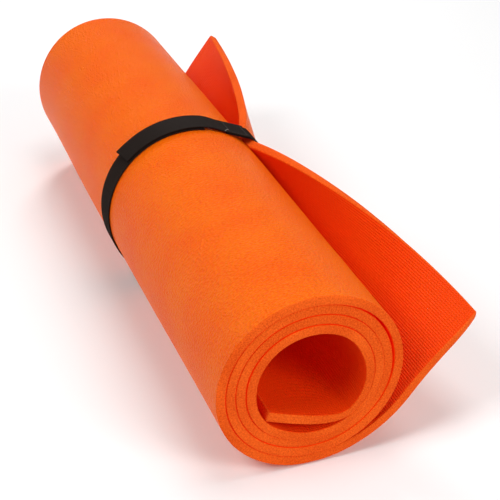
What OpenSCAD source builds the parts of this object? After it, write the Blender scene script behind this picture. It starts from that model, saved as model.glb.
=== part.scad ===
// Closed-cell foam sleeping pad, rolled up and held by an elastic band that closes with hook
// and loop. X runs along the roll, Y across it and Z up. The origin is under the middle of the
// whole part, on the surface that it lies on.

/* [Foam sheet] */
// Width of the pad, which is the length of the roll
pad_width = 600; // [480:10:750]
// Thickness of the foam
foam_t = 8; // [6:0.5:12]
// Inner radius of the first wrap
core_r = 40; // [32:1:60]
// Air left between two wraps
wrap_gap = 0.5; // [0.4:0.1:1.5]
// Half turns wound round the core, an even number
half_turns = 8; // [4:2:12]
// Direction from the roll's axis to the start of the first wrap, above level
start_angle = -47; // [-60:1:-30]
// Depth that the resting roll flattens by on its underside
rest_flat = 1.5; // [0.5:0.1:2.5]

/* [Inner end] */
// Radius of the bend that turns the inner end across the core, to the middle of the foam
tuck_r = 20; // [14:1:28]
// Angle that this bend turns through
tuck_turn = 55; // [45:1:65]
// Clearance between the inner end's tip and the first wrap
tuck_gap = 0.8; // [0.5:0.1:3]

/* [Free end] */
// Angle before the end of the last half turn where the free end begins
free_start = 28; // [20:1:40]
// Angle past the end of the last half turn that the free edge reaches under the band
free_reach = 87; // [75:1:95]
// How much wider than the wrap under the band the free end curves at the near end, in radius
near_open_extra = 29; // [15:1:120]
// Length of the free end that stays curved at the near end
near_curl = 67; // [50:1:100]
// How much wider than the wrap under the band the free end curves at the far end, in radius
far_open_extra = 0; // [0:1:120]
// Length of the free end that stays curved at the far end
far_curl = 52; // [40:1:100]
// How the opening grows from the band to the near end, as a power
near_power = 0.9; // [0.7:0.05:1.5]
// How the opening grows from the band to the far end, as a power
far_power = 0.7; // [0.6:0.05:1.5]
// Length held flat on each side of the band's centre
held_half = 18; // [15:1:30]
// Clearance between the free end and the roll where the foam bends to open
bend_gap = 0.3; // [0.2:0.1:1]

/* [Band] */
// Place of the band along the roll, from its middle
band_x = -14; // [-100:1:100]
// Width of the elastic band
band_w = 26; // [20:1:40]
// Thickness of the elastic band
band_t = 1.3; // [1:0.1:2]
// Clearance between the band and the foam
band_gap = 0.3; // [0.2:0.05:0.5]

/* [Closure] */
// Width of the hook tape
hook_w = 29; // [20:1:45]
// Thickness of the hook tape
hook_t = 1; // [0.8:0.1:1.6]
// Width of the loop tape
loop_w = 24; // [16:1:38]
// Thickness of the loop tape
loop_t = 0.8; // [0.6:0.1:1.4]
// Depth in which hooks and loops catch each other
catch_depth = 0.5; // [0.4:0.1:1]
// Angle from the free edge to the sewn end of the hook tape
sewn_start = 3; // [2:0.5:6]
// Length of hook tape that is sewn to the band
sewn_length = 25; // [18:1:26]
// Angle that the hook tape covers past its sewn part
tape_reach = 78; // [60:1:90]
// Angle between the two ends of the band, bridged by the hook tape
band_ends_apart = 17; // [14:1:25]
// Angle that the loop tape stops short of the hook tape's free end
loop_short = 2; // [1:0.5:10]

/* [Stitching] */
// Length of one stitch
stitch_l = 2.2; // [1.5:0.1:3]
// Distance from one stitch to the next
stitch_pitch = 3.2; // [2.5:0.1:4]
// Width of the sewing thread
thread_w = 0.5; // [0.3:0.1:0.8]
// Distance from a seam to the edge of its tape
seam_inset = 2; // [1.5:0.1:3]

/* [Hidden] */

// The roll is drawn in a plane whose first axis points at the start of the first wrap. Half
// turn number 0 starts there. Even half turns are arcs about one centre and odd ones about
// another, half a wrap's pitch apart, so that each arc runs smoothly into the next.
pitch = foam_t + wrap_gap;
centre_even = [-pitch / 4, 0];
centre_odd = [pitch / 4, 0];
function middle_r(half_turn) = core_r + foam_t / 2 + pitch / 4 + half_turn * pitch / 2;
function polar(centre, r, angle) = centre + r * [cos(angle), sin(angle)];
wrap_step = 5; // degrees
wrap_end = 180 * half_turns - free_start;
down = 270 - start_angle;
rest_r = middle_r(half_turns - 1) + foam_t / 2 - rest_flat;
// Radius of a circle that a flat cuts, at an angle away from the middle of the flat
function cut_r(r, flat_r, away) = abs(away) < 60 ? min(r, flat_r / cos(away)) : r;
// Radius of a face of the wound sheet, flattened where the outermost wrap rests
function wrap_face_r(half_turn, angle, out) = let (r = middle_r(half_turn) + out)
    half_turn == half_turns - 1 && out > 0 ? cut_r(r, rest_r, angle - down) : r;
function wrap_face(out) = [for (i = [0:floor(wrap_end / wrap_step) + 1]) let (
    along = min(i * wrap_step, wrap_end),
    half_turn = min(floor(along / 180), half_turns - 1),
    angle = along - 360 * floor(half_turn / 2))
    polar(half_turn % 2 == 0 ? centre_even : centre_odd, wrap_face_r(half_turn, angle, out), angle)];

// Inner end: a straight run across the core, then a bend that starts the first wrap. The run
// stops short of the first wrap at the corner of its tip.
tuck_centre = centre_even + [middle_r(0) - tuck_r, 0];
tuck_dir = [-sin(tuck_turn), -cos(tuck_turn)];
tuck_corner = polar(tuck_centre, tuck_r + foam_t / 2, -tuck_turn) - centre_odd;
tuck_limit = middle_r(1) - foam_t / 2 - tuck_gap;
tuck_along = tuck_corner * tuck_dir;
tuck_run = sqrt(tuck_along ^ 2 - tuck_corner * tuck_corner + tuck_limit ^ 2) - tuck_along;
function tuck_face(out) = concat(
    [polar(tuck_centre, tuck_r + out, -tuck_turn) + tuck_run * tuck_dir],
    [for (a = [-tuck_turn:wrap_step:-1]) polar(tuck_centre, tuck_r + out, a)]);
function sheet_face(out) = concat(tuck_face(out), wrap_face(out));
function reversed(points) = [for (i = [len(points) - 1:-1:0]) points[i]];

// Band: round the last wraps, over the free edge and down to the wrap below it
lower_r = middle_r(half_turns - 2) + foam_t / 2 + band_gap;
side_r = middle_r(half_turns - 1) + foam_t / 2 + band_gap;
upper_r = middle_r(half_turns) + foam_t / 2 + band_gap;
landing = free_reach + acos(lower_r / upper_r);
rest_half = acos((side_r - rest_flat) / side_r);
function lower_side(angle, out) = cut_r(side_r + out, side_r - rest_flat + out, angle - down);
function upper_side(angle, out) = angle > landing ? lower_r + out
    : cut_r(upper_r + out, lower_r + out, landing - angle);
// A point of the band's path, at an angle about the roll and a distance outside its inner face
function strap_point(angle, out) = let (a = angle % 360)
    a < 180 ? polar(centre_even, upper_side(a, out), a)
    : polar(centre_odd, lower_side(a, out), a);

// Closure: angles along the band's path
sewn_from = free_reach + sewn_start;
sewn_to = sewn_from + sewn_length / upper_r * 180 / PI;
hinge_angle = sewn_to + 1;
tape_end = hinge_angle + tape_reach;
band_end = sewn_to + band_ends_apart;
ramp_angle = band_end - hinge_angle - 1;
hinge_gap = 0.2; // degrees
function ramp(u) = let (v = min(1, max(0, u))) v * v * (3 - 2 * v);
function tape_lift(angle) = band_t
    + (loop_t + catch_depth) * ramp((angle - hinge_angle) / ramp_angle);
path_step = 4; // degrees
function stations(from, to) = let (n = max(1, ceil((to - from) / path_step)))
    [for (i = [0:n - 1]) from + (to - from) * i / n];
function through(stops) = concat(
    [for (i = [0:len(stops) - 2]) each stations(stops[i], stops[i + 1])],
    [stops[len(stops) - 1]]);

// Free end: a sheet worked out line by line, from the band to each end of the roll. Its
// curvature is that of the wrap under the band and falls to the open curve at the end.
lines = 12;
arcs = 26;
function running_sum(v) =
    [for (i = 0, s = 0; i <= len(v); s = s + (i < len(v) ? v[i] : 0), i = i + 1) s];
hug_length = middle_r(half_turns - 1) * free_start * PI / 180;
free_length = hug_length + middle_r(half_turns) * free_reach * PI / 180;
arc_step = free_length / arcs;
curl_fade = 25;
function wrap_curve(s) = 1 / middle_r(s < hug_length ? half_turns - 1 : half_turns);
function open_curve(s, r, curl) = (1 - ramp((s - curl) / curl_fade + 0.5)) / r;
function half_width(side) = pad_width / 2 - side * band_x;
function held(side) = held_half / half_width(side);
// Place of a line between the band and one end: the second line is where the opening begins
function line_at(side, i) = i == 0 ? 0 : held(side) + (1 - held(side)) * (i - 1) / (lines - 1);
function opening(side, along) = along <= held(side) ? 0
    : ((along - held(side)) / (1 - held(side))) ^ (side > 0 ? near_power : far_power);
free_from = start_angle - free_start;
bend_angle = bend_gap / middle_r(half_turns - 1) * 180 / PI;
free_root = let (p = polar(centre_odd, middle_r(half_turns - 1), -free_start + bend_angle))
    [p[0] * cos(start_angle) - p[1] * sin(start_angle),
     p[0] * sin(start_angle) + p[1] * cos(start_angle)];
// Each entry is a place across the roll, a height and the heading of the sheet there
function section(side, along) = let (
    g = opening(side, along),
    r = middle_r(half_turns - 1) + (side > 0 ? near_open_extra : far_open_extra),
    curl = side > 0 ? near_curl : far_curl,
    turns = [for (j = [0:arcs - 1]) let (s = (j + 0.5) * arc_step)
        (wrap_curve(s) * (1 - g) + open_curve(s, r, curl) * g) * arc_step * 180 / PI],
    heading = [for (t = running_sum(turns)) free_from + bend_angle + 90 + t],
    middles = [for (j = [0:arcs - 1]) (heading[j] + heading[j + 1]) / 2],
    ys = running_sum([for (m = middles) cos(m) * arc_step]),
    zs = running_sum([for (m = middles) sin(m) * arc_step]))
    [for (j = [0:arcs]) [free_root[0] + ys[j], free_root[1] + zs[j], heading[j]]];
// The lines from the band to one end, each kept at its own length as it opens
function free_half(side) = let (
    rows = [for (i = [0:lines]) section(side, line_at(side, i))],
    runs = [for (j = [0:arcs]) running_sum([for (i = [0:lines - 1]) let (
        step = (line_at(side, i + 1) - line_at(side, i)) * half_width(side),
        dy = rows[i + 1][j][0] - rows[i][j][0],
        dz = rows[i + 1][j][1] - rows[i][j][1])
        sqrt(max(step ^ 2 / 4, step ^ 2 - dy ^ 2 - dz ^ 2))])])
    [for (i = [0:lines]) [for (j = [0:arcs]) [band_x + side * runs[j][i], rows[i][j]]]];
far_half = free_half(-1);
near_half = free_half(1);
free_rows = concat([for (i = [lines:-1:1]) far_half[i]], near_half);
function face_point(p, out) =
    [p[0], p[1][0] + out * sin(p[1][2]), p[1][1] - out * cos(p[1][2])];
free_outer = [for (row = free_rows) each [for (p = row) face_point(p, foam_t / 2)]];
free_inner = [for (row = free_rows) each [for (p = row) face_point(p, -foam_t / 2)]];

// The origin is under the middle of the whole part
left_y = centre_odd[0] * cos(start_angle) - side_r - band_t;
right_y = max([for (p = free_outer) p[1]]);
shift_y = -(left_y + right_y) / 2;
lift_z = side_r - rest_flat + band_t - centre_odd[0] * sin(start_angle);

module in_part() { translate([0, shift_y, lift_z]) children(); }

// Turns the drawing plane upright across the roll, so that its third axis runs along X
module in_roll() { in_part() rotate([90, 0, 90]) rotate(start_angle) children(); }

module pad_roll() {
    color("darkorange") in_roll() translate([0, 0, -pad_width / 2]) linear_extrude(pad_width)
        polygon(concat(sheet_face(foam_t / 2), reversed(sheet_face(-foam_t / 2))));
}

module pad_free_end() {
    w = arcs + 1;
    n = w * (2 * lines + 1);
    last = 2 * lines;
    function quad(a, b, c, d) = [[a, b, c], [a, c, d]];
    faces = concat(
        [for (i = [0:last - 1]) for (j = [0:arcs - 1]) let (a = i * w + j)
            each quad(a, a + w, a + w + 1, a + 1)],
        [for (i = [0:last - 1]) for (j = [0:arcs - 1]) let (a = n + i * w + j)
            each quad(a, a + 1, a + w + 1, a + w)],
        [for (j = [0:arcs - 1]) each quad(j, j + 1, n + j + 1, n + j)],
        [for (j = [0:arcs - 1]) let (a = last * w + j) each quad(a, n + a, n + a + 1, a + 1)],
        [for (i = [0:last - 1]) let (a = i * w) each quad(a, n + a, n + a + w, a + w)],
        [for (i = [0:last - 1]) let (a = i * w + arcs) each quad(a, a + w, n + a + w, n + a)]);
    color("darkorange") in_part() polyhedron(points = concat(free_outer, free_inner), faces = faces);
}

// A strip that follows the band's path, between two distances outside its inner face
module strip(angles, low, high, width) {
    last = len(angles) - 1;
    in_roll() translate([0, 0, band_x - width / 2]) linear_extrude(width) polygon(concat(
        [for (i = [0:last]) strap_point(angles[i], high[i])],
        reversed([for (i = [0:last]) strap_point(angles[i], low[i])])));
}

function each_of(angles, value) = [for (a = angles) value];

module elastic_band() {
    angles = through([band_end, band_end + 1, 180, tape_end - loop_short, down - rest_half,
        down + rest_half, 360, 360 + free_reach, 360 + sewn_to]);
    color("#2a211f") strip(angles, each_of(angles, 0), each_of(angles, band_t), band_w);
}

module loop_tape() {
    angles = through([band_end + 1, 180, tape_end - loop_short]);
    color("#332b29")
        strip(angles, each_of(angles, band_t), each_of(angles, band_t + loop_t), loop_w);
}

module hook_tape_sewn_end() {
    angles = through([sewn_from, sewn_to]);
    color("#26201e")
        strip(angles, each_of(angles, band_t), each_of(angles, band_t + hook_t), hook_w);
}

module hook_tape() {
    angles = through([hinge_angle + hinge_gap, landing, band_end - 1, 180, tape_end]);
    lift = [for (a = angles) tape_lift(a)];
    color("#26201e") strip(angles, lift, [for (h = lift) h + hook_t], hook_w);
}

// One stitch, half sunk in the tape: its middle along the roll and its run along or across it
module stitch(angle, facing, out, x, across) {
    size = across ? [thread_w, thread_w, stitch_l] : [thread_w, stitch_l, thread_w];
    p = strap_point(angle, out);
    in_roll() translate([p[0], p[1], x]) rotate(facing) translate(-size / 2) cube(size);
}

// The sewn end has a seam near each of its four edges
module hook_tape_stitches() {
    out = band_t + hook_t;
    edge = (seam_inset + stitch_l / 2) / upper_r * 180 / PI;
    count = floor((band_w - 2 * seam_inset - stitch_l) / stitch_pitch);
    runs = floor((sewn_length - 2 * seam_inset - 2 * stitch_l) / stitch_pitch);
    color("#4a423e") {
        for (angle = [sewn_from + edge, sewn_to - edge]) for (i = [0:count])
            stitch(angle, landing, out, band_x + (i - count / 2) * stitch_pitch, true);
        for (side = [-1, 1]) for (i = [1:runs])
            stitch((sewn_from + sewn_to) / 2
                + (i - (runs + 1) / 2) * stitch_pitch / upper_r * 180 / PI,
                landing, out, band_x + side * (band_w / 2 - seam_inset), false);
    }
}

// The loop tape has a seam along each of its long edges
module loop_tape_stitches() {
    from = band_end + 2;
    turn = stitch_pitch / side_r * 180 / PI;
    count = floor((tape_end - loop_short - 1 - from) / turn);
    color("#4a423e") for (side = [-1, 1]) for (i = [0:count])
        stitch(from + i * turn, from + i * turn, band_t + loop_t,
            band_x + side * (loop_w / 2 - seam_inset), false);
}

pad_roll();
pad_free_end();
elastic_band();
loop_tape();
hook_tape_sewn_end();
hook_tape();
hook_tape_stitches();
loop_tape_stitches();
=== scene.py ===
import bpy
import numpy as np
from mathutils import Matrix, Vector


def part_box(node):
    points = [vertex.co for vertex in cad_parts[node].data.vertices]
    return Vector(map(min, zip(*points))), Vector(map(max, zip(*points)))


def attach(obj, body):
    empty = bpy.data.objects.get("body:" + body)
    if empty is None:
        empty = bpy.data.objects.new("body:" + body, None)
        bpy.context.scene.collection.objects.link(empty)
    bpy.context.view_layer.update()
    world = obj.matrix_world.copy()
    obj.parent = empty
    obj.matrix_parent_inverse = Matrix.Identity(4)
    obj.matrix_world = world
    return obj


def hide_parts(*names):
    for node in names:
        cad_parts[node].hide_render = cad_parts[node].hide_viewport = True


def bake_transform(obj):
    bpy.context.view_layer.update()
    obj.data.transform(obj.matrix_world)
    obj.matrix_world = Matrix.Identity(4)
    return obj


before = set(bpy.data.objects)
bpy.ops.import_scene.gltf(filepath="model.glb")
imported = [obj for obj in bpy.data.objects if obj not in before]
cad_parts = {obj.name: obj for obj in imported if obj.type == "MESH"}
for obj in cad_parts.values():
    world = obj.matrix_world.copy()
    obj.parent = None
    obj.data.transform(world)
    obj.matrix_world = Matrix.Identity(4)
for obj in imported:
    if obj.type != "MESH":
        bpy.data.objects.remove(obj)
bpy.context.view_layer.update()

# Foam sleeping pad, rolled up and strapped. Metres and degrees. Angles go round the roll from the
# start of its first wrap, anticlockwise seen from the near end, and "out" is away from the axis.
# Layers count the wraps from the core.

pad = {
    "foam": 0.008,                # thickness of the sheet
    "coreRadius": 0.040,          # inner radius of the first wrap
    "wrapGap": 0.0005,            # air between two wraps
    "halfTurns": 8,
    "startAngle": -47.0,          # direction of the start of the first wrap, above level
    "freeStart": 28.0,            # where the free end begins, before the last half turn ends
    "freeReach": 87.5,            # where the free edge is, past the last half turn
    "restFlat": 0.0015,           # depth that the underside flattens by
    "restSoft": 0.0004,           # softness of that flat's edge
    "bandPlace": -0.014,          # place of the band along the roll
    "edgeRound": 0.0007,          # radius of the worn cut edges
    "ovalInner": 0.0017,          # how much wider than high the inner wraps are, as a radius
    "ovalOuter": 0.0010,          # the same for the outermost wrap
    "ovalTurn": 3.0,              # direction of the wide way
    "innerLayer": 2.0,            # layer up to which the inner oval holds
    "outerLayer": 4.4,            # layer of what lies outside the wraps, where the outer one does
    "farOval": (-0.0006, -0.0020, 0.0009),  # at the far end: upright, aslant and raised instead
    "farFrom": -0.04,             # where along the roll that change begins
    "bulge": 0.0077,              # push of the inner end's bend on the wraps round it
    "bulgeAngle": -52.0,          # direction of that push, above level
    "bulgeBefore": 110.0,         # reach of the push on each side of its direction
    "bulgeAfter": 80.0,
    "bulgeFrom": -0.44,           # layer where it is strongest
    "bulgeLayers": 3.3,           # layers over which it dies away
    "bulgePower": 1.3,            # how steeply it does so
    "dent": 0.0019,               # push of the inner end's tip on the first wrap
    "dentAngle": -147.0,
    "dentReach": 38.0,
    "dentFrom": 0.1,              # layer outside which it acts
    "dentFade": 0.7,              # how fast it dies away from layer to layer
    "looseLift": 0.0008,          # how far the last wrap stands off on the free end's side
    "looseSpan": (1152.0, 68.0),  # middle of that, as an angle along the spiral, and its reach
    "looseTaper": 0.6,            # how much less its outer face does so, and more its inner one
    "looseSink": 0.0004,          # how far the wrap below it stays back there
    "sinkSpan": (785.0, 45.0),
    "tightness": 0.00015,         # how much closer the wraps lie low down than high up
    "tip": (-0.0377, -0.0251),    # tip of the inner end, from the axis
    "tipHeading": -22.0,          # heading of the inner end at its tip
    "tipPull": 0.040,             # lengths of the inner end's two handles
    "bendPull": 0.014,
    "runLength": 0.09,            # rough length of the inner end's run across the core
    "runShares": (0.03, 0.985, 40),  # first and last station after its worn tip, and their number
    "thickFrom": 0.35,            # share of the run where the wound sheet's thickness sets in
    "handling": 0.00016,          # height of the slow waves left by handling
    "longWave": {"across": 0.23, "along": 0.31, "wander": 0.2, "share": 0.7},
    "shortWave": {"across": 0.093, "along": 0.17, "patch": 0.12, "phase": 1.1, "share": 0.5},
    "slip": 0.0006,               # how far the wraps' ends wander in and out
    "slipLength": 0.16,           # length of such a wave, over two pi
    "gapMargin": 25.0,            # angle past which a face counts as shut in between two wraps
    "stationStep": 3.0,           # angle between two stations of the spiral
    "acrossStep": 0.0125,         # distance between two points across the sheet
}
half = pad["foam"] / 2
pitch = pad["foam"] + pad["wrapGap"]
seamAngle = 180 * pad["halfTurns"] - pad["freeStart"]
startTurn = np.radians(pad["startAngle"])
centreStep = pitch / 4 * np.array([np.cos(startTurn), np.sin(startTurn)])
wornTurn = np.radians([90, 60, 30, 0])    # a worn edge is a quarter circle in three steps


# Radius of the middle of the foam in one half turn: it grows by half a pitch each time.
def middleRadius(halfTurn):
    return pad["coreRadius"] + half + pitch / 4 + halfTurn * pitch / 2


# The roll's axis comes from the box of the wound foam: its leftmost wrap and its flat underside.
rollLow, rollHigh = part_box("pad_roll")
lastRadius = middleRadius(pad["halfTurns"] - 1) + half
restDepth = lastRadius - pad["restFlat"]
axisY = rollLow.y + lastRadius - centreStep[0]
axisZ = rollLow.z + restDepth - centreStep[1]
halfWidth = (rollHigh.x - rollLow.x) / 2


# Three u squared less two u cubed between 0 and 1, so it is level at both ends.
def smooth(u):
    u = np.clip(u, 0, 1)
    return u * u * (3 - 2 * u)


# A squared cosine: 1 in the middle and 0 from reach on.
def hump(u, reach):
    return np.cos(np.clip(u / reach, -1, 1) * np.pi / 2) ** 2


# Difference of two directions in degrees, from -180 to 180.
def away(angle, middle):
    return (angle - middle + 180) % 360 - 180


# How far the wraps stand outside their even spiral, by direction, layer and place along the
# roll. It is the sum of three: an oval, as a cosine of twice the direction, that leans over
# towards the far end; the push of the bent inner end, as a hump times a power of the layers
# left; and the dent of its tip, as a hump that decays with the layers.
def squeeze(direction, layer, x):
    oval = np.interp(layer, [pad["innerLayer"], pad["outerLayer"]],
                     [pad["ovalInner"], pad["ovalOuter"]])
    turn, (upright, aslant, raised) = np.radians(direction), pad["farOval"]
    share = smooth((pad["farFrom"] - x) / (halfWidth + pad["farFrom"]))
    leaning = upright * np.cos(2 * turn) + aslant * np.sin(2 * turn) + raised * np.sin(turn)
    out = oval * np.cos(2 * turn - 2 * np.radians(pad["ovalTurn"])) * (1 - share) + leaning * share
    side = away(direction, pad["bulgeAngle"])
    reach = np.where(side < 0, pad["bulgeBefore"], pad["bulgeAfter"])
    layersLeft = np.clip(1 - (layer - pad["bulgeFrom"]) / pad["bulgeLayers"], 0, None)
    out = out + pad["bulge"] * layersLeft ** pad["bulgePower"] * hump(side, reach)
    dent = pad["dent"] * np.exp(-pad["dentFade"] * np.clip(layer, 0, None))
    dent = dent * hump(away(direction, pad["dentAngle"]), pad["dentReach"])
    return out + np.where(layer > pad["dentFrom"], dent, 0)


# Slow waves left by handling, by length along the sheet and place across it: a sine across the
# sheet that wanders along it, and a finer slanting one in patches.
def waves(length, x):
    full, long, short = 2 * np.pi, pad["longWave"], pad["shortWave"]
    wander = long["wander"] * np.sin(full * length / long["along"])
    slow = np.sin(full * (x / long["across"] + wander))
    patch = np.sin(full * length / short["patch"] + short["phase"])
    fine = np.sin(full * (x / short["across"] + length / short["along"])) * patch
    return pad["handling"] * (long["share"] * slow + short["share"] * fine)


# A height that the underside can't go below: half of the height above the floor plus half of
# its absolute value, rounded off where they meet.
def restOn(z, floor):
    return floor + (z - floor + np.sqrt((z - floor) ** 2 + pad["restSoft"] ** 2)) / 2


# A point of the wound sheet: half turns are arcs about two centres half a pitch apart, so that
# the radius grows evenly, and squeeze moves each point along its radius. On the free end's side
# the last wrap is a little loose and the one below it sunk, by one hump each.
def woundPoint(turned, out, x):
    halfTurn = np.clip(np.floor(turned / 180), 0, pad["halfTurns"] - 1)
    side = np.where(halfTurn % 2 == 0, -1.0, 1.0)
    direction = turned + pad["startAngle"]
    (looseMiddle, looseReach), (sinkMiddle, sinkReach) = pad["looseSpan"], pad["sinkSpan"]
    loose = hump(turned - looseMiddle, looseReach) * pad["looseLift"]
    loose = loose * (1 - pad["looseTaper"] * out / half)
    sunk = hump(turned - sinkMiddle, sinkReach) * pad["looseSink"]
    tight = np.sign(out) * pad["tightness"] * np.cos(np.radians(direction - pad["bulgeAngle"]))
    radius = middleRadius(halfTurn) + out + tight + loose - sunk
    radius = radius + squeeze(direction, turned / 360 + out / pitch, x)
    a = np.radians(direction)
    y = side * centreStep[0] + radius * np.cos(a)
    z = side * centreStep[1] + radius * np.sin(a)
    last = (halfTurn == pad["halfTurns"] - 1) & (out > 0)
    return y, np.where(last, restOn(z, centreStep[1] - restDepth), z)


# A new smooth-shaded mesh object at the origin.
def addMesh(name, points, faces, materials):
    made = bpy.data.meshes.new(name)
    made.from_pydata(points, [], faces)
    made.polygons.foreach_set("use_smooth", np.ones(len(made.polygons), bool))
    for material in materials:
        made.materials.append(material)
    made.update()
    thing = bpy.data.objects.new(name, made)
    bpy.context.scene.collection.objects.link(thing)
    return thing


finish = {"skin": 0, "cut": 1, "inner": 2, "gap": 3}    # order of the foam's materials


# A closed solid from two grids of points, its upper and lower face, stations first. The rims of
# the two grids are joined all round. Places in the flat sheet go into a UV map, in metres.
def gridSolid(name, upper, lower, alongLength, acrossLength, materials, bandOf=None,
              sharpEnds=(False, False)):
    stations, columns = upper.shape[:2]
    around = 2 * columns
    points = np.concatenate([upper, lower[:, ::-1]], axis=1).reshape(-1, 3)
    i, k = np.meshgrid(np.arange(stations - 1), np.arange(around), indexing="ij")
    nextK = (k + 1) % around
    ring = np.stack([i * around + k, (i + 1) * around + k,
                     (i + 1) * around + nextK, i * around + nextK], -1)
    j = np.arange(columns - 1)
    start = np.stack([j, j + 1, around - 2 - j, around - 1 - j], -1)
    end = start[:, ::-1] + (stations - 1) * around
    quads = np.concatenate([ring.reshape(-1, 4), start, end])
    solid = addMesh(name, points.tolist(), quads.tolist(), materials)
    made = solid.data

    rim = np.linalg.norm(upper[0, -1] - lower[0, -1])
    back = 2 * acrossLength[-1] + rim
    u = np.concatenate([acrossLength, back - acrossLength[::-1], [back + rim - acrossLength[0]]])
    ringUv = np.stack([np.stack([u[k + across], alongLength[i + along]], -1)
                       for across, along in ((0, 0), (0, 1), (1, 1), (1, 0))], 2)
    capU = np.stack([acrossLength[:-1], acrossLength[1:], acrossLength[1:], acrossLength[:-1]], -1)
    capV = np.stack([0 * j, 0 * j, 0 * j + rim, 0 * j + rim], -1)
    cap = np.stack([capU, capV], -1)
    uv = np.concatenate([ringUv.reshape(-1, 4, 2), cap, cap[:, ::-1]])
    made.uv_layers.new(name="sheet").data.foreach_set("uv", uv.astype(np.float32).ravel())

    if bandOf is not None:
        bands = np.concatenate([bandOf.reshape(-1), np.full(2 * len(start), finish["cut"])])
        made.polygons.foreach_set("material_index", bands.astype(np.int32))
    pairs = np.empty(len(made.edges) * 2, np.int32)
    made.edges.foreach_get("vertices", pairs)
    station = pairs.reshape(-1, 2) // around
    sharp = np.zeros(len(station), bool)
    for isSharp, number in zip(sharpEnds, (0, stations - 1)):
        if isSharp:
            sharp |= (station == number).all(1)
    made.attributes.new("sharp_edge", "BOOLEAN", "EDGE").data.foreach_set("value", sharp)
    made.update()
    return solid


# Places across a sheet or tape from one edge to the other, and how far its rounded edge drops
# at each. The even places in the middle start margin roundings in from the edge.
def acrossPlaces(width, rounding, margin, count):
    edge = width / 2 - rounding * (1 - np.sin(wornTurn))
    drop = rounding * (1 - np.cos(wornTurn))
    inner = np.linspace(margin * rounding - width / 2, width / 2 - margin * rounding, count)
    return (np.concatenate([-edge, inner, edge[::-1]]),
            np.concatenate([drop, 0 * inner, drop[::-1]]))


# Which finish each strip of a sheet's ring of faces has.
def sheetBands(dropAlong, dropAcross):
    worn = np.maximum(dropAcross[1:], dropAcross[:-1]) > 0
    upper = np.where(worn, finish["cut"], finish["skin"])
    lower = np.where(worn, finish["cut"], finish["inner"])
    ring = np.concatenate([upper, [finish["cut"]], lower[::-1], [finish["cut"]]])
    end = np.maximum(dropAlong[1:], dropAlong[:-1]) > 0
    return np.where(end[:, None], finish["cut"], ring[None, :])


# Running length of a line of points.
def lengthsOf(points):
    return np.concatenate([[0], np.cumsum(np.linalg.norm(np.diff(points, axis=0), axis=1))])


# sRGB hex to the linear colour that a shader works in.
def paint(hexColour):
    parts = np.array([int(hexColour[n:n + 2], 16) / 255 for n in (1, 3, 5)])
    linear = np.where(parts <= 0.04045, parts / 12.92, ((parts + 0.055) / 1.055) ** 2.4)
    return (*linear.tolist(), 1.0)


# Adds one node with its settings, values and incoming links, and returns it.
def addNode(tree, kind, settings={}, values={}, links={}):
    made = tree.nodes.new(kind)
    for name, value in settings.items():
        setattr(made, name, value)
    for name, value in values.items():
        made.inputs[name].default_value = value
    for name, source in links.items():
        tree.links.new(source, made.inputs[name])
    return made


# A new material's node tree and its shader, with the values that are the same all over.
def startMaterial(name, values):
    material = bpy.data.materials.new(name)
    material.use_nodes = True
    tree = material.node_tree
    shader = tree.nodes["Principled BSDF"]
    for socket, value in values.items():
        shader.inputs[socket].default_value = value
    return material, tree, shader


# Colours a surface from the second shade at the first stop to the first shade at the second.
def colourBetween(tree, shader, amount, stops, shades):
    ramp = addNode(tree, "ShaderNodeValToRGB", {}, {}, {"Fac": amount})
    for element, stop, shade in zip(ramp.color_ramp.elements, stops, reversed(shades)):
        element.position, element.color = stop, paint(shade)
    tree.links.new(ramp.outputs["Color"], shader.inputs["Base Color"])


# Two sines, one across the flat sheet and one along it, each with its own spacing.
def crossingRows(tree, place, spacings):
    split = addNode(tree, "ShaderNodeSeparateXYZ", {}, {}, {0: place.outputs[0]})
    rows = []
    for axis, spacing in enumerate(spacings):
        turn = addNode(tree, "ShaderNodeMath", {"operation": "MULTIPLY"},
                       {1: 2 * np.pi / spacing}, {0: split.outputs[axis]})
        rows.append(addNode(tree, "ShaderNodeMath", {"operation": "SINE"}, {},
                            {0: turn.outputs[0]}))
    return rows


foamLook = {
    # Per finish: two shades that drift into each other, how much its speckle counts, roughness,
    # specular level and painted glow.
    # The skin's speckle is partly random grain and partly painted highlight: its lighter spots
    # stand in for glints of the grain.
    "skin": {"shades": ("#FF7606", "#FA5C00"), "speckle": 0.8,
             "roughness": 0.34, "level": 0.06, "paintedGlow": 0.03},
    "cut": {"shades": ("#F8691C", "#D84808"), "speckle": 0.8,
            "roughness": 0.85, "level": 0.08, "paintedGlow": 0.04},
    # The inner and gap shades are redder than the skin's: painted shade, the red cast of light
    # bounced about in the roll's hollows.
    "inner": {"shades": ("#FA4C00", "#F64000"), "speckle": 0.6,
              "roughness": 0.6, "level": 0.08, "paintedGlow": 0.055},
    "gap": {"shades": ("#FA4C00", "#F64000"), "speckle": 0.6,
            "roughness": 0.7, "level": 0.05, "paintedGlow": 0.06},
    "paintedGlowColour": "#FF1000",          # painted glow: emission colour for light that soaks into the foam and leaves it again
    "ior": 1.5,
    "grain": 0.0022,              # width of the skin's leathery grain
    "grainHeight": 0.0012,
    "skinRough": (0.28, 0.4),     # roughness of the skin from spot to spot
    "cell": 0.0012,               # sliced cells, drawn over twice their real size to show
    "cellHeight": 0.0005,
    "emboss": 0.0021,             # spacing of the dots rolled into the inner face
    "embossHeight": 0.0003,
    "drift": 0.045,               # size of the slow colour changes
    "driftShare": 0.4,            # how much they count
    "contrast": 0.2,              # how far from its middle the ramp reaches each shade
}
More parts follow.
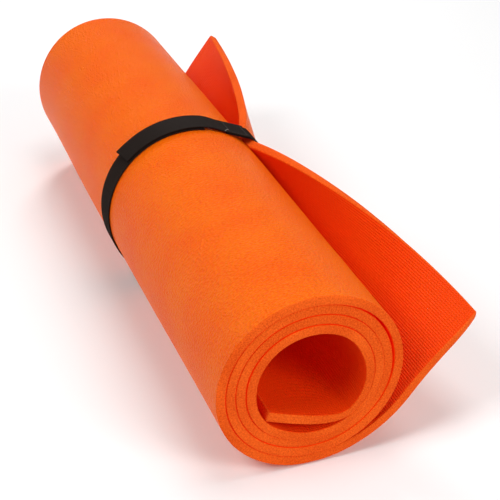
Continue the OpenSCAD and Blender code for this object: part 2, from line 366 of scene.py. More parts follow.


# Every foam finish: a slow change between two shades with a fine speckle over it, and a painted
# red glow, emission that stands in for light soaked through the foam, which fills its hollows.
def startFoam(process, look, speckleSize):
    values = {"IOR": foamLook["ior"], "Roughness": look["roughness"],
              "Specular IOR Level": look["level"],
              "Emission Color": paint(foamLook["paintedGlowColour"]), "Emission Strength": look["paintedGlow"]}
    material, tree, shader = startMaterial("cross-linked polyethylene foam, " + process, values)
    place = addNode(tree, "ShaderNodeUVMap", {"uv_map": "sheet"})
    drift = addNode(tree, "ShaderNodeTexNoise", {"noise_dimensions": "2D"},
                    {"Scale": 1 / foamLook["drift"], "Detail": 3.0}, {"Vector": place.outputs[0]})
    spots = addNode(tree, "ShaderNodeTexNoise", {"noise_dimensions": "2D", "name": "speckle"},
                    {"Scale": 1 / speckleSize, "Detail": 2.0}, {"Vector": place.outputs[0]})
    slow = addNode(tree, "ShaderNodeMath", {"operation": "MULTIPLY"},
                   {1: foamLook["driftShare"]}, {0: drift.outputs["Fac"]})
    both = addNode(tree, "ShaderNodeMath", {"operation": "MULTIPLY_ADD"},
                   {1: look["speckle"]}, {0: spots.outputs["Fac"], 2: slow.outputs[0]})
    middle = (foamLook["driftShare"] + look["speckle"]) / 2
    stops = (middle - foamLook["contrast"], middle + foamLook["contrast"])
    colourBetween(tree, shader, both.outputs[0], stops, look["shades"])
    return material, tree, shader, place


# Cross-linked polyethylene foam, moulded skin: closed and slightly waxy, with a leathery grain
# that breaks its broad highlight into a sparkle. Its colour speckle is partly grain and partly
# painted sparkle.
def mouldedFoamSkin():
    material, tree, shader, place = startFoam("moulded skin", foamLook["skin"], foamLook["grain"])
    grain = addNode(tree, "ShaderNodeTexVoronoi",
                    {"voronoi_dimensions": "2D", "feature": "SMOOTH_F1"},
                    {"Scale": 1 / foamLook["grain"], "Smoothness": 0.6},
                    {"Vector": place.outputs[0]})
    fine = addNode(tree, "ShaderNodeTexNoise", {"noise_dimensions": "2D"},
                   {"Scale": 2 / foamLook["grain"], "Detail": 3.0}, {"Vector": place.outputs[0]})
    height = addNode(tree, "ShaderNodeMath", {"operation": "ADD"}, {},
                     {0: grain.outputs["Distance"], 1: fine.outputs["Fac"]})
    bump = addNode(tree, "ShaderNodeBump", {},
                   {"Strength": 1.0, "Distance": foamLook["grainHeight"]},
                   {"Height": height.outputs[0]})
    rough = addNode(tree, "ShaderNodeMapRange", {},
                    dict(zip(("To Min", "To Max"), foamLook["skinRough"])),
                    {"Value": tree.nodes["speckle"].outputs["Fac"]})
    tree.links.new(bump.outputs[0], shader.inputs["Normal"])
    tree.links.new(rough.outputs[0], shader.inputs["Roughness"])
    return material


# Cross-linked polyethylene foam, sliced: the open cells scatter the light, so it is paler,
# dull and finely speckled.
def slicedFoam():
    material, tree, shader, place = startFoam("sliced", foamLook["cut"], foamLook["cell"])
    cells = addNode(tree, "ShaderNodeTexVoronoi", {"voronoi_dimensions": "2D"},
                    {"Scale": 1 / foamLook["cell"]}, {"Vector": place.outputs[0]})
    bump = addNode(tree, "ShaderNodeBump", {},
                   {"Strength": 0.8, "Distance": foamLook["cellHeight"]},
                   {"Height": cells.outputs["Distance"]})
    tree.links.new(bump.outputs[0], shader.inputs["Normal"])
    return material


# Cross-linked polyethylene foam, calendered: a square grid of small dots rolled into the inner
# face, which shows as fine rows where the light grazes it.
def embossedFoam():
    material, tree, shader, place = startFoam("calendered", foamLook["inner"], foamLook["grain"])
    rows = crossingRows(tree, place, (foamLook["emboss"], foamLook["emboss"]))
    dots = addNode(tree, "ShaderNodeMath", {"operation": "ADD"}, {},
                   {0: rows[0].outputs[0], 1: rows[1].outputs[0]})
    bump = addNode(tree, "ShaderNodeBump", {},
                   {"Strength": 1.0, "Distance": foamLook["embossHeight"]},
                   {"Height": dots.outputs[0]})
    tree.links.new(bump.outputs[0], shader.inputs["Normal"])
    return material


# Cross-linked polyethylene foam between two wraps, with a stronger painted glow: emission that
# stands in for light soaking through the foam on both sides of the narrow gap, so the gap shows as
# a red line and not as a black one.
def foamInGap():
    return startFoam("between wraps", foamLook["gap"], foamLook["grain"])[0]


foamMaterials = [mouldedFoamSkin(), slicedFoam(), embossedFoam(), foamInGap()]
acrossFoam, dropAcross = acrossPlaces(2 * halfWidth, pad["edgeRound"], 3,
                                      int(2 * halfWidth / pad["acrossStep"]) + 1)


# The wound sheet: a curved run across the core, as one cubic curve from its tip to the start of
# the first wrap, then the spiral. Stations are shares of the run, then degrees.
def makeWoundFoam():
    rounding = pad["edgeRound"]
    inFace, outFace = (np.stack(woundPoint(0.0, np.array(o), halfWidth)) for o in (-half, half))
    thick = np.linalg.norm(outFace - inFace)
    joint, normal = (inFace + outFace) / 2, (outFace - inFace) / thick
    tip, turn = np.array(pad["tip"]), np.radians(pad["tipHeading"])
    handles = [tip, tip + pad["tipPull"] * np.array([np.cos(turn), np.sin(turn)]),
               joint - pad["bendPull"] * np.array([-normal[1], normal[0]]), joint]
    wornShare = rounding * (1 - np.sin(wornTurn)) / pad["runLength"]
    share = np.concatenate([wornShare, np.linspace(*pad["runShares"])])
    dropRun = np.zeros(len(share))
    dropRun[:len(wornTurn)] = rounding * (1 - np.cos(wornTurn))
    t = share[:, None]
    run = ((1 - t) ** 3 * handles[0] + 3 * (1 - t) ** 2 * t * handles[1]
           + 3 * (1 - t) * t ** 2 * handles[2] + t ** 3 * handles[3])
    slope = (3 * (1 - t) ** 2 * (handles[1] - handles[0])
             + 6 * (1 - t) * t * (handles[2] - handles[1])
             + 3 * t ** 2 * (handles[3] - handles[2]))
    slope /= np.linalg.norm(slope, axis=1, keepdims=True)
    outward = np.stack([slope[:, 1], -slope[:, 0]], -1)
    thickShare = smooth((share - pad["thickFrom"]) / (1 - pad["thickFrom"]))
    thin = 1 + (thick / pad["foam"] - 1) * thickShare

    step = pad["stationStep"]
    lastOnes = seamAngle - np.array([step, step / 2, 0.8, 0.3, 0])    # closer up to the seam
    turned = np.concatenate([np.arange(0, seamAngle - step, step), lastOnes])
    dropAlong = np.concatenate([dropRun, 0 * turned])
    spiral = np.stack(woundPoint(turned, 0 * turned, halfWidth), -1)
    length = lengthsOf(np.concatenate([run, spiral]))
    faces = []
    for side in (1, -1):
        depth = side * (half - dropAlong[:, None] - dropAcross[None, :])
        x = np.broadcast_to(acrossFoam, depth.shape)
        out = depth + waves(length[:, None], x)
        n = len(run)
        outRun = (out[:n] * thin[:, None])[..., None]
        runPoints = run[:, None, :] + outRun * outward[:, None, :]
        y, z = woundPoint(np.broadcast_to(turned[:, None], out[n:].shape), out[n:], x[n:])
        flat = np.concatenate([runPoints, np.stack([y, z], -1)])
        slip = pad["slip"] * np.sin(length / pad["slipLength"])[:, None] * x / halfWidth
        faces.append(np.stack([x + slip, flat[..., 0] + axisY, flat[..., 1] + axisZ], -1))

    # Shut in: the outer skin but for the last wrap, and the inner face past the first wrap. These
    # take the gap finish with its stronger painted glow.
    bands = sheetBands(dropAlong, dropAcross)
    wrapped = np.concatenate([0 * dropRun, turned])[:-1, None]
    covered = (wrapped > pad["gapMargin"]) & (wrapped < seamAngle - 360 - pad["gapMargin"])
    covering = wrapped > 360 + pad["gapMargin"]
    shutIn = (bands == finish["skin"]) & covered | (bands == finish["inner"]) & covering
    bands[shutIn] = finish["gap"]
    foam = gridSolid("wound_foam", faces[0], faces[1], length, acrossFoam, foamMaterials, bands,
                     (False, True))
    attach(foam, "roll")
    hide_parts("pad_roll")
    print("wound foam made,", len(foam.data.polygons), "faces")
    return length[-1]


freeEnd = {
    # Per side: length held flat beside the band's middle, curve per metre where open, length
    # along the sheet until it turns to the end curve, and the power by which the sheet opens.
    "near": {"held": 0.013, "curve": 9.1, "until": 0.0630, "endCurve": -7.5, "power": 0.94},
    "far": {"held": 0.0190, "curve": 13.1, "until": 0.0372, "endCurve": 1.3, "power": 0.723},
    "fade": 0.025,                # length over which one curve turns to the other
    "edgeRound": 0.0015,          # radius of the free edge, pressed rounder than the others
    "leaveRadius": 0.088,         # distance from the axis where the roll's squeeze lets go
    "leaveLength": 0.03,          # length over which it does, with the closeness of the wraps
    "bend": 0.04,                 # length that bends as the band leaves the free end
    "firstSteps": (0, 0.0004, 0.001, 0.002),  # stations close behind the seam
    "evenFrom": 0.004,            # where the even stations begin
    "evenStations": 60,
    "acrossStep": 0.0065,
}
freeHeading = np.radians(seamAngle + pad["startAngle"] + 90)    # of the sheet where it leaves


# The free end: at each place across it, the curvature of the wrap under the band gives way to
# the open curve, by the share opened there. Headings and places are running sums along the
# sheet, and each line across it keeps its own length as the sheet opens.
def freeSurface(length, across):
    fromBand = across - pad["bandPlace"]
    near = fromBand >= 0
    pick = {key: np.where(near, freeEnd["near"][key], freeEnd["far"][key])
            for key in freeEnd["near"]}
    span = np.where(near, halfWidth - pad["bandPlace"], halfWidth + pad["bandPlace"])
    opened = np.clip((np.abs(fromBand) - pick["held"]) / (span - pick["held"]), 0, 1)
    opened = opened ** pick["power"]
    s = (length[1:] + length[:-1])[:, None] / 2
    lastHalf = pad["halfTurns"] - 1
    hug = np.radians(pad["freeStart"]) * middleRadius(lastHalf)
    wrapCurve = 1 / middleRadius(np.where(s < hug, lastHalf, lastHalf + 1))
    ending = smooth((s - pick["until"]) / freeEnd["fade"])
    openCurve = pick["curve"] + (pick["endCurve"] - pick["curve"]) * ending
    step = np.diff(length)[:, None]
    turn = (wrapCurve * (1 - opened) + openCurve * opened) * step
    zero = np.zeros((1, len(across)))
    heading = freeHeading + np.cumsum(np.concatenate([zero, turn]), axis=0)
    middle = (heading[1:] + heading[:-1]) / 2
    outward = np.array([np.sin(freeHeading), -np.cos(freeHeading)])
    root = centreStep + middleRadius(lastHalf) * outward
    y = root[0] + np.concatenate([zero, np.cumsum(np.cos(middle) * step, axis=0)])
    z = root[1] + np.concatenate([zero, np.cumsum(np.sin(middle) * step, axis=0)])
    gaps = np.diff(across)
    sideways = np.sqrt(np.clip(gaps ** 2 - np.diff(y, axis=1) ** 2 - np.diff(z, axis=1) ** 2,
                               (gaps / 2) ** 2, None))
    x = np.concatenate([np.zeros((len(length), 1)), np.cumsum(sideways, axis=1)], axis=1)
    atBand = np.array([np.interp(pad["bandPlace"], across, row) for row in x])
    points = np.stack([x - atBand[:, None] + pad["bandPlace"], y, z], -1)
    normal = np.cross(np.gradient(points, axis=0), np.gradient(points, axis=1))
    return points, normal / np.linalg.norm(normal, axis=2, keepdims=True)


# The squeeze of the roll, carried on by a sheet near it and fading as the sheet leaves it: each
# point moves along its radius by the squeeze times the share left.
def squeezeNear(points):
    r = np.hypot(points[..., 1], points[..., 2])
    direction = np.degrees(np.arctan2(points[..., 2], points[..., 1]))
    left = 1 - smooth((r - freeEnd["leaveRadius"]) / freeEnd["leaveLength"])
    scale = (r + squeeze(direction, pad["outerLayer"], points[..., 0]) * left) / r
    return np.stack([points[..., 0], points[..., 1] * scale, points[..., 2] * scale], -1)


# The free end as a solid: the free surface, moved along its normals by half the foam each way.
def makeFreeEnd(startLength):
    total = (np.radians(pad["freeStart"]) * middleRadius(pad["halfTurns"] - 1)
             + np.radians(pad["freeReach"]) * middleRadius(pad["halfTurns"]))
    endRound = freeEnd["edgeRound"]
    wornEnd = wornTurn[::-1]
    length = np.concatenate([
        freeEnd["firstSteps"],
        np.linspace(freeEnd["evenFrom"], total - 2 * endRound, freeEnd["evenStations"]),
        total - endRound * (1 - np.sin(wornEnd))])
    dropAlong = np.zeros(len(length))
    dropAlong[-len(wornEnd):] = endRound * (1 - np.cos(wornEnd))
    across, drop = acrossPlaces(2 * halfWidth, pad["edgeRound"], 3,
                                int(2 * halfWidth / freeEnd["acrossStep"]) + 1)
    points, normal = freeSurface(length, across)
    seamDirection = seamAngle + pad["startAngle"] - pad["bulgeAngle"]
    close = pad["tightness"] * np.cos(np.radians(seamDirection))
    close = close * (1 - smooth(length / freeEnd["leaveLength"]))[:, None]
    faces = []
    for side in (1, -1):
        out = side * (half - dropAlong[:, None] - drop[None, :])
        out = out + waves(startLength + length[:, None], across) + side * close
        face = squeezeNear(points + out[..., None] * normal)
        if side > 0:
            face[..., 2] = restOn(face[..., 2], centreStep[1] - restDepth)
        faces.append(face + np.array([0, axisY, axisZ]))
    flap = gridSolid("free_end_foam", faces[0], faces[1], startLength + length, across,
                     foamMaterials, sheetBands(dropAlong, drop), (True, False))
    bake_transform(flap)
    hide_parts("pad_free_end")
    print("free end made,", len(flap.data.polygons), "faces")


woundLength = makeWoundFoam()
makeFreeEnd(woundLength)

band = {
    "width": 0.026,
    "thickness": 0.0013,
    "gap": 0.0003,                # clearance over the foam
    "ribs": 13,                   # ribs side by side, drawn twice as wide as real ones
    "ribDepth": 0.00018,
    "endsApart": 17.0,            # angle between the band's two ends, bridged by the hook tape
}
tape = {
    "hookWidth": 0.0268,
    "hookThickness": 0.001,
    "loopWidth": 0.024,
    "loopThickness": 0.0008,
    "edgeShare": 0.45,            # radius of the long edges, as a share of the thickness
    "catch": 0.0005,              # depth in which hooks and loops catch each other
    "sewnStart": 3.0,             # angle from the free edge to the sewn end
    "sewnLength": 0.025,
    "clear": 1.0,                 # angle left between neighbouring ends of tapes and seams
    "reach": 77.0,                # angle that the hook tape covers past its sewn part
    "loopShort": 2.0,             # angle that the loop tape stops short of its free end
    "skew": 2.5,                  # angle that the free end is cut out of square, edge to edge
    "aside": -0.0003,             # how far it was sewn off the band's middle
    "drift": -0.0008,             # how far the free end has wandered sideways
    "lieReach": 45.0,             # angle over which it comes to lie like that
    "spring": 0.0011,             # how far its far corner stands proud
    "springReach": 13.0,
    "springAcross": 0.55,         # place across, as a share of the width, that stays down
    "bend": 0.016,                # length that bends when it is peeled
}
lowerRadius = middleRadius(pad["halfTurns"] - 2) + half + band["gap"]
sideRadius = middleRadius(pad["halfTurns"] - 1) + half + band["gap"]
upperRadius = middleRadius(pad["halfTurns"]) + half + band["gap"]
landing = pad["freeReach"] + np.degrees(np.arccos(lowerRadius / upperRadius))
sewnFrom = pad["freeReach"] + tape["sewnStart"]
sewnTo = sewnFrom + np.degrees(tape["sewnLength"] / upperRadius)
hingeAngle = sewnTo + tape["clear"]
tapeEnd = hingeAngle + tape["reach"]
loopEnd = tapeEnd - tape["loopShort"]
bandEnd = sewnTo + band["endsApart"]


# Radius of a circle that a flat cuts off, by the angle from the middle of the flat: the flat's
# distance over the cosine, where that is less than the radius and within 60 degrees.
def cutRadius(radius, flat, angle):
    near = np.abs(angle) < 60
    flatRadius = flat / np.cos(np.radians(np.where(near, angle, 0)))
    return np.where(near, np.minimum(radius, flatRadius), radius)


# A point of the band's path: round the last wraps, straight from the free edge down to the wrap
# below it, and squeezed as the roll is.
def strapPoint(angle, out, x):
    a = angle % 360
    upper = a < 180
    over = np.where(a > landing, lowerRadius + out,
                    cutRadius(upperRadius + out, lowerRadius + out, landing - a))
    down = 270 - pad["startAngle"]
    under = cutRadius(sideRadius + out, sideRadius - pad["restFlat"] + out, a - down)
    direction = a + pad["startAngle"]
    turn = np.radians(direction)
    side = np.where(upper, -1.0, 1.0)
    radius = np.where(upper, over, under) + squeeze(direction, pad["outerLayer"], x)
    y = side * centreStep[0] + radius * np.cos(turn)
    z = side * centreStep[1] + radius * np.sin(turn)
    z = restOn(z, centreStep[1] - sideRadius + pad["restFlat"] - out)
    y, z, x = np.broadcast_arrays(y, z, x)
    return np.stack([x, y + axisY, z + axisZ], -1)


# A strip along the band's path: its cross-section is a lower and an upper height at places
# across it, each a function of the angle round the roll.
def makeStrip(name, angles, across, lowOut, highOut, material, sideways=0, skew=0):
    angle = angles[:, None] + skew
    x = pad["bandPlace"] + across[None, :] + sideways
    upper, lower = strapPoint(angle, highOut, x), strapPoint(angle, lowOut, x)
    length = lengthsOf(upper[:, len(across) // 2])
    return gridSolid(name, upper, lower, length, across, [material])


# Places across a tape or band of one thickness, with its long edges rounded off.
def tapePlaces(width, thickness, count):
    return acrossPlaces(width, thickness * tape["edgeShare"], 2, count)


strapLook = {
    # Per fabric: two shades, spacing of its yarns across and along, roughness.
    "elastic": {"shades": ("#2C211C", "#181210"), "yarns": (0.0020, 0.0009), "roughness": 0.8},
    "tape": {"shades": ("#271D19", "#15100D"), "yarns": (0.0010, 0.0010), "roughness": 0.7},
    "pile": {"shades": ("#2A201C", "#16100E"), "yarns": (0.0013, 0.0011), "roughness": 0.9},
    "thread": ("#4A403B", "#2E2724"),
    # Light grey of the thread end: a painted highlight on the dark thread.
    "highlitLooseThread": "#C8BEB4",
    "fuzz": 0.0006,               # size of the fuzz of fibre ends
    "weaveShare": 0.35,           # how much the yarns count beside the fuzz
    "yarnHeight": 0.0002,
    "twist": 0.0008,              # length of one twist in a thread
}


# Woven polyester over rubber, or nylon tape: rows of small yarn humps, twice as coarse as real
# ones so that they show, and a dull fuzz of fibre ends over them.
def wovenStrap(name, look):
    material, tree, shader = startMaterial(
        name, {"IOR": 1.5, "Roughness": look["roughness"], "Specular IOR Level": 0.04})
    place = addNode(tree, "ShaderNodeUVMap", {"uv_map": "sheet"})
    rows = crossingRows(tree, place, look["yarns"])
    weave = addNode(tree, "ShaderNodeMath", {"operation": "MULTIPLY"}, {},
                    {0: rows[0].outputs[0], 1: rows[1].outputs[0]})
    fuzz = addNode(tree, "ShaderNodeTexNoise", {"noise_dimensions": "2D"},
                   {"Scale": 1 / strapLook["fuzz"], "Detail": 3.0}, {"Vector": place.outputs[0]})
    both = addNode(tree, "ShaderNodeMath", {"operation": "MULTIPLY_ADD"},
                   {1: strapLook["weaveShare"]}, {0: weave.outputs[0], 2: fuzz.outputs["Fac"]})
    colourBetween(tree, shader, both.outputs[0], (0.15, 0.85), look["shades"])
    bump = addNode(tree, "ShaderNodeBump", {},
                   {"Strength": 0.6, "Distance": strapLook["yarnHeight"]},
                   {"Height": both.outputs[0]})
    tree.links.new(bump.outputs[0], shader.inputs["Normal"])
    return material


# Spun or drawn fibre: nylon hooks are smooth and a little glossy, sewing thread is duller.
def fibre(name, shades, roughness):
    material, tree, shader = startMaterial(
        name, {"IOR": 1.53, "Roughness": roughness, "Specular IOR Level": 0.25})
    place = addNode(tree, "ShaderNodeTexCoord")
    twist = addNode(tree, "ShaderNodeTexNoise", {},
                    {"Scale": 1 / strapLook["twist"], "Detail": 2.0},
                    {"Vector": place.outputs["Object"]})
    colourBetween(tree, shader, twist.outputs["Fac"], (0.3, 0.7), shades)
    return material


elasticWeave = wovenStrap("ribbed polyester elastic, woven", strapLook["elastic"])
tapeWeave = wovenStrap("nylon hook tape, woven back", strapLook["tape"])
pileKnit = wovenStrap("nylon loop tape, knitted", strapLook["pile"])
hookNylon = fibre("nylon hooks, drawn and cut", strapLook["tape"]["shades"], 0.4)
loopNylon = fibre("nylon loops, brushed up", strapLook["pile"]["shades"], 0.7)
seamThread = fibre("polyester thread, twisted", strapLook["thread"], 0.6)
# The thread end is drawn light grey, a painted highlight on the dark thread.
highlitLooseThread = fibre("polyester thread, frayed end, painted highlight",
                    (strapLook["highlitLooseThread"], strapLook["thread"][0]), 0.7)


# Angles from one stop to another about a step apart, both ends included.
def steps(start, end, step=2.0):
    return np.linspace(start, end, max(2, int(np.ceil((end - start) / step)) + 1))


# The band: raised cosines across it, one for each rib, and flat underneath.
def makeBand():
    across, drop = tapePlaces(band["width"], band["thickness"], band["ribs"] * 6 + 1)
    turn = 2 * np.pi * band["ribs"] * (across / band["width"] + 0.5)
    rib = band["ribDepth"] * (0.5 - 0.5 * np.cos(turn))
    high = band["thickness"] - drop - band["ribDepth"] + np.where(drop > 0, 0, rib)
    made = makeStrip("ribbed_band", steps(bandEnd, 360 + sewnTo), across,
                     drop[None, :], high[None, :], elasticWeave)
    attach(made, "strap")
    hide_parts("elastic_band")
    print("band made")


# Height of the hook tape's underside: on the band where it is sewn, then up over the loop tape.
def tapeLift(angle):
    ramp = smooth((angle - hingeAngle) / (bandEnd - hingeAngle - tape["clear"]))
    return band["thickness"] + (tape["loopThickness"] + tape["catch"]) * ramp


# How the hook tape's free end lies: out of square, wandered to the far side, far corner proud by
# the square of the angle and in proportion across.
def tapeEndLie(angle, across):
    share = smooth((angle - tapeEnd) / tape["lieReach"] + 1)
    corner = np.clip((angle - tapeEnd) / tape["springReach"] + 1, 0, 1) ** 2
    shareAcross = across / tape["hookWidth"]
    skew = -tape["skew"] * shareAcross * share
    sideways = tape["aside"] + tape["drift"] * share
    return skew, sideways, tape["spring"] * corner * (tape["springAcross"] - shareAcross)


# The hook tape, in one piece from its sewn end to its free end, rising over the loop tape past the
# closure's hinge.
def makeHookTape():
    across, drop = tapePlaces(tape["hookWidth"], tape["hookThickness"], 25)
    angles = np.concatenate([steps(sewnFrom, hingeAngle), steps(hingeAngle, tapeEnd, 1.0)[1:]])
    skew, sideways, proud = tapeEndLie(angles[:, None], across[None, :])
    low = tapeLift(angles)[:, None] + drop[None, :] + proud
    high = tapeLift(angles)[:, None] + tape["hookThickness"] - drop[None, :] + proud
    made = makeStrip("hook_tape_whole", angles, across, low, high, tapeWeave, sideways, skew)
    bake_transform(made)
    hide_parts("hook_tape", "hook_tape_sewn_end")
    print("hook tape made")


# The loop tape lies on the band all along.
def makeLoopTape():
    across, drop = tapePlaces(tape["loopWidth"], tape["loopThickness"], 17)
    low = band["thickness"] + drop[None, :]
    high = band["thickness"] + tape["loopThickness"] - drop[None, :]
    angles = steps(bandEnd + tape["clear"], loopEnd)
    made = makeStrip("loop_tape_base", angles, across, low, high, pileKnit)
    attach(made, "strap")
    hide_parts("loop_tape")
    print("loop tape made")


# Many thin round fibres: each follows its own points, with rings of corners square to its path.
def makeFibres(name, paths, radius, sides, material):
    count, stops = paths.shape[:2]
    tangent = np.gradient(paths, axis=1)
    tangent /= np.linalg.norm(tangent, axis=2, keepdims=True)
    guide = np.where(np.abs(tangent[..., :1]) > 0.8, np.array([0.0, 0.6, 0.8]),
                     np.array([1.0, 0, 0]))
    first = np.cross(tangent, guide)
    first /= np.linalg.norm(first, axis=2, keepdims=True)
    second = np.cross(tangent, first)
    turn = (2 * np.pi * np.arange(sides) / sides)[None, None, :, None]
    points = paths[:, :, None] + radius * (first[:, :, None] * np.cos(turn)
                                           + second[:, :, None] * np.sin(turn))
    f, i, k = np.meshgrid(np.arange(count), np.arange(stops - 1), np.arange(sides), indexing="ij")
    base, after = (f * stops + i) * sides, (k + 1) % sides
    quads = np.stack([base + k, base + after, base + sides + after, base + sides + k], -1)
    ends = np.arange(count)[:, None] * stops * sides
    caps = np.concatenate([ends + np.arange(sides)[::-1],
                           ends + (stops - 1) * sides + np.arange(sides)])
    return addMesh(name, points.reshape(-1, 3).tolist(),
                   quads.reshape(-1, 4).tolist() + caps.tolist(), [material])


fibres = {
    "hookPitch": 0.0018,          # drawn at about one and a half times a real tape's spacing
    "hookThick": 0.00013,
    "hookTall": 0.0007,
    "hookBare": (2, 0.5),         # angles without hooks at the tape's two ends
    "hookMess": 0.1,              # disorder, as a share of the spacing
    "hookFall": (0, 0.55, 0.95, 1.0, 0.7),  # a hook's path: shares of its height,
    "hookCurl": (0, 0, 0.00012, 0.0004, 0.00055),  # and how far along it has curled over
    "hookRoot": 0.0001,           # depth of its foot in the tape
    "loopPitch": 0.0017,
    "loopThick": 0.00009,
    "loopTall": 0.0006,
    "loopHeights": (0.7, 1.1),    # least and most of that height
    "loopBare": 1.5,
    "loopMess": 0.35,
    "loopHalf": 0.0006,           # half the span of a loop
    "loopRoot": 0.00005,
    "stitch": 0.0022,             # stitch length and spacing
    "stitchPitch": 0.0032,
    "stitchRise": 0.00022,        # how far its middle rises over its ends
    "stitchRoot": 0.0001,         # depth of its ends in the tape
    "threadThick": 0.00024,
    "inset": 0.002,               # from a seam to the edge of its tape
}


# A grid of places on a tape, in angle and place across, with a little disorder.
def scatter(random, start, end, width, spacing, disorder):
    turn = np.degrees(spacing / sideRadius)
    rows = np.arange(start + turn, end - turn, turn)
    columns = np.arange(-width / 2 + spacing, width / 2 - spacing / 2, spacing)
    a, x = np.meshgrid(rows, columns)
    a = a.ravel() + random.uniform(-disorder, disorder, a.size) * turn
    return a, x.ravel() + random.uniform(-disorder, disorder, a.size) * spacing


# Hooks under the moving tape: a stem that leaves the tape and curls over along it.
def makeHooks():
    random = np.random.default_rng(7)
    first, last = fibres["hookBare"]
    a, x = scatter(random, hingeAngle + first, tapeEnd - last, tape["hookWidth"],
                   fibres["hookPitch"], fibres["hookMess"])
    lean = random.choice([-1.0, 1.0], a.size)
    fall = np.array(fibres["hookFall"]) * fibres["hookTall"]
    reach = np.degrees(np.array(fibres["hookCurl"]) / sideRadius)
    angle = a[:, None] + lean[:, None] * reach
    across = x[:, None] + 0 * angle
    skew, sideways, proud = tapeEndLie(angle, across)
    out = tapeLift(angle) + fibres["hookRoot"] - fall + proud
    paths = strapPoint(angle + skew, out, pad["bandPlace"] + across + sideways)
    made = makeFibres("tape_hooks", paths, fibres["hookThick"], 4, hookNylon)
    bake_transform(made)
    print("hooks made,", a.size)


# Loops of fibre standing on the loop tape: half circles in any direction.
def makeLoops():
    random = np.random.default_rng(11)
    a, x = scatter(random, bandEnd + fibres["loopBare"], loopEnd, tape["loopWidth"],
                   fibres["loopPitch"], fibres["loopMess"])
    facing = random.uniform(0, np.pi, a.size)[:, None]
    tall = fibres["loopTall"] * random.uniform(*fibres["loopHeights"], a.size)[:, None]
    arch = np.linspace(0, np.pi, 6)
    flat = -fibres["loopHalf"] * np.cos(arch)
    angle = a[:, None] + np.degrees(flat * np.cos(facing) / sideRadius)
    across = x[:, None] + flat * np.sin(facing)
    foot = band["thickness"] + tape["loopThickness"] - fibres["loopRoot"]
    paths = strapPoint(angle, foot + tall * np.sin(arch), pad["bandPlace"] + across)
    made = makeFibres("tape_loops", paths, fibres["loopThick"], 3, loopNylon)
    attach(made, "strap")
    print("loops made,", a.size)


# Stitches, along a tape or across it: each rises out of the tape and dips back into it, by one
# less the fourth power of the place along it.
def stitchPaths(angle, x, out, across):
    share = np.linspace(-1, 1, 7)
    rise = (out + fibres["stitchRise"] * (1 - share ** 4) - fibres["stitchRoot"])[None, :]
    run = share * fibres["stitch"] / 2
    if across:
        return strapPoint(angle[:, None] + 0 * run, rise, x[:, None] + run)
    return strapPoint(angle[:, None] + np.degrees(run / upperRadius), rise, x[:, None] + 0 * run)


# One seam piece of several rows of stitches, sewn to the strap in place of a CAD node.
def makeSeam(name, node, paths):
    made = makeFibres(name, np.concatenate(paths), fibres["threadThick"], 6, seamThread)
    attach(made, "strap")
    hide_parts(node)


# The hook tape's seam runs round its sewn end, and the loop tape's along its two long edges.
def makeSeams():
    out = band["thickness"] + tape["hookThickness"]
    spacing, inset = fibres["stitchPitch"], fibres["inset"]
    edge = np.degrees((inset + fibres["stitch"] / 2) / upperRadius)
    count = int((band["width"] - 2 * inset - fibres["stitch"]) / spacing)
    rows = (np.arange(count + 1) - count / 2) * spacing + pad["bandPlace"]
    runs = int((tape["sewnLength"] - 2 * inset - 2 * fibres["stitch"]) / spacing)
    middle = (np.arange(1, runs + 1) - (runs + 1) / 2) * np.degrees(spacing / upperRadius)
    paths = [stitchPaths(np.full(count + 1, a), rows, out, True)
             for a in (sewnFrom + edge, sewnTo - edge)]
    for side in (-1, 1):
        x = pad["bandPlace"] + side * (band["width"] / 2 - inset)
        paths.append(stitchPaths((sewnFrom + sewnTo) / 2 + middle, np.full(runs, x), out, False))
    makeSeam("sewn_end_seam", "hook_tape_stitches", paths)
    start = bandEnd + 2 * tape["clear"]
    turn = np.degrees(spacing / sideRadius)
    along = start + turn * np.arange(int((loopEnd - tape["clear"] - start) / turn) + 1)
    out = band["thickness"] + tape["loopThickness"]
    paths = []
    for side in (-1, 1):
        x = pad["bandPlace"] + side * (tape["loopWidth"] / 2 - inset)
        paths.append(stitchPaths(along, np.full(len(along), x), out, False))
    makeSeam("loop_tape_seams", "loop_tape_stitches", paths)
    print("seams made")


threadEnd = {
    "inside": 0.004,              # from its root to the hook tape's near edge
    "run": 0.0070,                # how far it runs across
    "before": 1.2,                # angle from its root to the end of the sewn part
    "turn": 4.6,                  # angle that it runs round
    "lift": 0.0008,               # height over the tape, and how much higher its middle is
    "arch": 0.0014,
}


# The thread end left hanging: over the tape's near edge, arched as most of half a sine.
def makeThreadEnd():
    share = np.linspace(0, 1, 14)
    x = pad["bandPlace"] + tape["hookWidth"] / 2 - threadEnd["inside"] + threadEnd["run"] * share
    angle = sewnTo - threadEnd["before"] + threadEnd["turn"] * share
    out = (band["thickness"] + tape["hookThickness"] + threadEnd["lift"]
           + threadEnd["arch"] * np.sin(np.pi * share * 0.9))
    made = makeFibres("thread_end", strapPoint(angle, out, x)[None], fibres["threadThick"], 6,
                      highlitLooseThread)
    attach(made, "strap")
    print("thread end made")


makeBand()
makeHookTape()
makeLoopTape()
makeHooks()
makeLoops()
makeSeams()
makeThreadEnd()

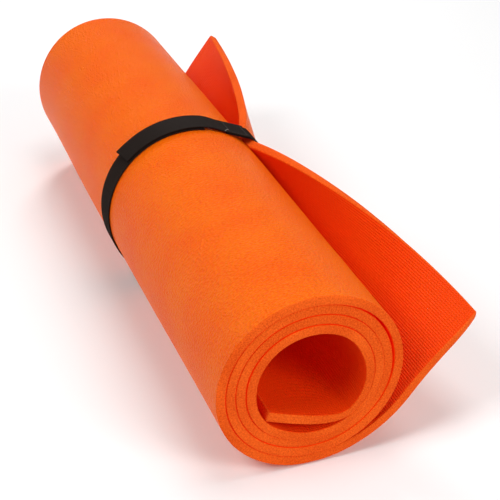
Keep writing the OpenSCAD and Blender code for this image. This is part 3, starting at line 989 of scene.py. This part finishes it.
studio = {
    "camera": (1.085666, -0.370537, 0.702839),
    "azimuth": 69.714,            # of the camera, round from the front
    "elevation": 30.544,
    "lens": 98.69,
    "sky": 0.26,                  # brightness of the white studio round it
    "bounces": 10,                # light passes this often between the bright foam faces
    "lightsFace": (0, 0, 0.08),   # the middle of the roll
    # Per soft box: place, side and power.
    "softBoxes": {
        "key": ((0.5, -1.3, 1.7), 0.8, 17),
        "top": ((0.2, 0.1, 2.0), 0.8, 11),
        "front": ((1.7, 0.7, 1.2), 0.8, 16),
        "back": ((-1.5, 0.35, 1.15), 0.45, 12),
        "side": ((-1.5, -1.2, 0.45), 0.5, 3),
    },
    "floor": "#F6F6F6",
    "floorHalf": 6.0,
}


def makeCamera():
    azimuth, elevation = np.radians([studio["azimuth"], studio["elevation"]])
    back = Vector((np.sin(azimuth) * np.cos(elevation), -np.cos(azimuth) * np.cos(elevation),
                   np.sin(elevation)))
    data = bpy.data.cameras.new("studio camera")
    data.lens, data.sensor_width = studio["lens"], 36
    data.clip_start, data.clip_end = 0.01, 50
    camera = bpy.data.objects.new("studio camera", data)
    camera.location = studio["camera"]
    camera.rotation_euler = (-back).to_track_quat("-Z", "Y").to_euler()
    bpy.context.scene.collection.objects.link(camera)
    bpy.context.scene.camera = camera


# A soft box: a square light that faces the middle of the roll.
def softBox(name, place, size, power):
    data = bpy.data.lights.new(name, "AREA")
    data.shape, data.size, data.energy = "SQUARE", size, power
    light = bpy.data.objects.new(name, data)
    light.location = place
    facing = Vector(studio["lightsFace"]) - Vector(place)
    light.rotation_euler = facing.to_track_quat("-Z", "Y").to_euler()
    bpy.context.scene.collection.objects.link(light)


# A pale matt floor, far wider than the view.
def makeFloor():
    side = studio["floorHalf"]
    corners = [(-side, -side, 0), (side, -side, 0), (side, side, 0), (-side, side, 0)]
    paper = startMaterial("matt paper backdrop",
                          {"Base Color": paint(studio["floor"]), "Roughness": 0.9})[0]
    addMesh("floor", corners, [(0, 1, 2, 3)], [paper])


def makeSky():
    world = bpy.data.worlds.new("studio sky")
    world.use_nodes = True
    world.node_tree.nodes["Background"].inputs["Color"].default_value = (1, 1, 1, 1)
    world.node_tree.nodes["Background"].inputs["Strength"].default_value = studio["sky"]
    bpy.context.scene.world = world
    bpy.context.scene.view_settings.view_transform = "Standard"
    bpy.context.scene.cycles.diffuse_bounces = studio["bounces"]


makeCamera()
makeFloor()
makeSky()
for name, (place, size, power) in studio["softBoxes"].items():
    softBox(name, place, size, power)
print("studio made")
